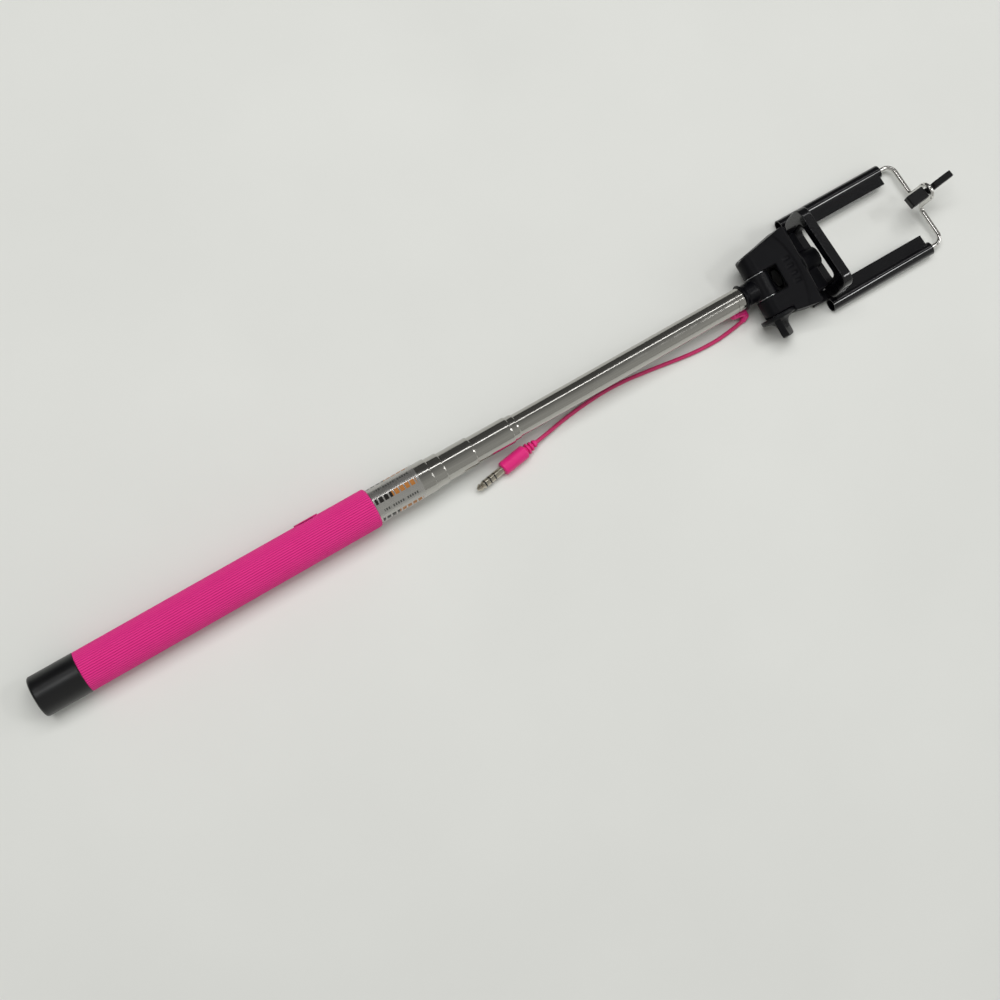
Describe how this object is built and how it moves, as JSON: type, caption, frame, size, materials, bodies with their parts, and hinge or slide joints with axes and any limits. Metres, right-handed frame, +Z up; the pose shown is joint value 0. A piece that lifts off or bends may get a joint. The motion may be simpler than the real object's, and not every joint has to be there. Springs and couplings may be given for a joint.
{
  "type": "selfie stick",
  "caption": "Wired telescopic selfie stick with a ribbed grip, tilting head, rotating spring phone holder, shutter button and short headset-plug cord.",
  "frame": {"origin": "centre of the butt end's flat face, on the pole's axis", "axes": "+X along the pole towards the phone holder, +Z up from the table the stick lies on, +Y across the pole, away from the thumb knob and cord"},
  "size_m": [0.4573, 0.05, 0.0265],
  "materials": {
    "cap_black": "satin",
    "grip_pink": "matte, fine lengthwise ribs",
    "tube_steel": "polished",
    "label_film": "satin film",
    "button_pink": "matte",
    "board_film": "satin",
    "dome_steel": "satin",
    "lead_black": "satin",
    "anchor_black": "satin",
    "bush_white": "satin",
    "neck_black": "satin",
    "plug_pink": "satin",
    "cord_pink": "satin",
    "contact_nickel": "polished",
    "ring_black": "gloss",
    "head_black": "fine grain",
    "zinc_steel": "zinc plated",
    "spring_steel": "drawn",
    "pad_rubber": "matte",
    "base_black": "fine grain",
    "rail_black": "gloss black",
    "jaw_black": "gloss",
    "wire_steel": "polished",
    "hook_black": "satin"
  },
  "bodies": {
    "handle": {"end_cap": "cap_black", "grip_sleeve": "grip_pink", "outer_tube": "tube_steel", "tube_label": "label_film", "switch_strip": "board_film", "switch_dome": "dome_steel", "switch_lead": "lead_black", "lead_anchor": "anchor_black", "coiled_lead": "lead_black"},
    "button": {"shutter_button": "button_pink"},
    "section_2": {"tube_2": "tube_steel", "bush_2": "bush_white"},
    "section_3": {"tube_3": "tube_steel", "bush_3": "bush_white"},
    "section_4": {"tube_4": "tube_steel", "bush_4": "bush_white"},
    "section_5": {"tube_5": "tube_steel", "bush_5": "bush_white"},
    "section_6": {"tube_6": "tube_steel", "bush_6": "bush_white", "neck_stem": "neck_black", "cord_boot": "plug_pink", "cord": "cord_pink", "plug_body": "plug_pink", "plug_contacts": "contact_nickel", "plug_insulators": "ring_black"},
    "head": {"head_block": "head_black", "hinge_washers": "zinc_steel", "captive_nut": "zinc_steel", "mount_screw": "zinc_steel", "platform_pad": "pad_rubber"},
    "knob": {"thumb_knob": "head_black", "hinge_screw": "zinc_steel"},
    "holder": {"holder_base": "base_black", "jaw_screws": "zinc_steel", "rail_left": "rail_black", "rail_right": "rail_black", "lower_jaw": "jaw_black", "jaw_liner": "pad_rubber", "rail_bushes": "anchor_black", "bail_springs": "spring_steel"},
    "bail": {"wire_bail": "wire_steel", "hook": "hook_black", "leg_stops": "zinc_steel"}
  },
  "joints": [
    {"name": "section_2_slide", "type": "slide", "parent": "handle", "child": "section_2", "axis": [1, 0, 0], "range_m": [-0.003, 0.1493], "deforming": ["coiled_lead"]},
    {"name": "section_3_slide", "type": "slide", "parent": "section_2", "child": "section_3", "axis": [1, 0, 0], "range_m": [-0.0118, 0.1358], "deforming": ["coiled_lead"]},
    {"name": "section_4_slide", "type": "slide", "parent": "section_3", "child": "section_4", "axis": [1, 0, 0], "range_m": [-0.0158, 0.1271], "deforming": ["coiled_lead"]},
    {"name": "section_5_slide", "type": "slide", "parent": "section_4", "child": "section_5", "axis": [1, 0, 0], "range_m": [-0.0004, 0.1378], "deforming": ["coiled_lead"]},
    {"name": "section_6_slide", "type": "slide", "parent": "section_5", "child": "section_6", "axis": [1, 0, 0], "range_m": [-0.1053, 0.019], "deforming": ["coiled_lead"]},
    {"name": "shutter_press", "type": "slide", "parent": "handle", "child": "button", "axis": [0, -1, 0], "range_m": [0, 0.00025], "stiffness_N_per_m": 3000, "springref_m": -0.0002},
    {"name": "head_tilt", "type": "hinge", "parent": "section_6", "child": "head", "pos_m": [0.3518, 0, 0], "axis": [0, 0.9848, 0.1736], "range_deg": [-90, 90]},
    {"name": "knob_turn", "type": "hinge", "parent": "head", "child": "knob", "pos_m": [0.3518, 0, 0], "axis": [0, 0.9848, 0.1736], "continuous": true},
    {"name": "holder_turn", "type": "hinge", "parent": "head", "child": "holder", "pos_m": [0.3722, 0, 0], "axis": [1, 0, 0], "range_deg": [-90, 90]},
    {"name": "bail_pull", "type": "slide", "parent": "holder", "child": "bail", "axis": [1, 0, 0], "range_m": [0, 0.03], "stiffness_N_per_m": 150, "springref_m": -0.02, "deforming": ["bail_springs"]}
  ]
}
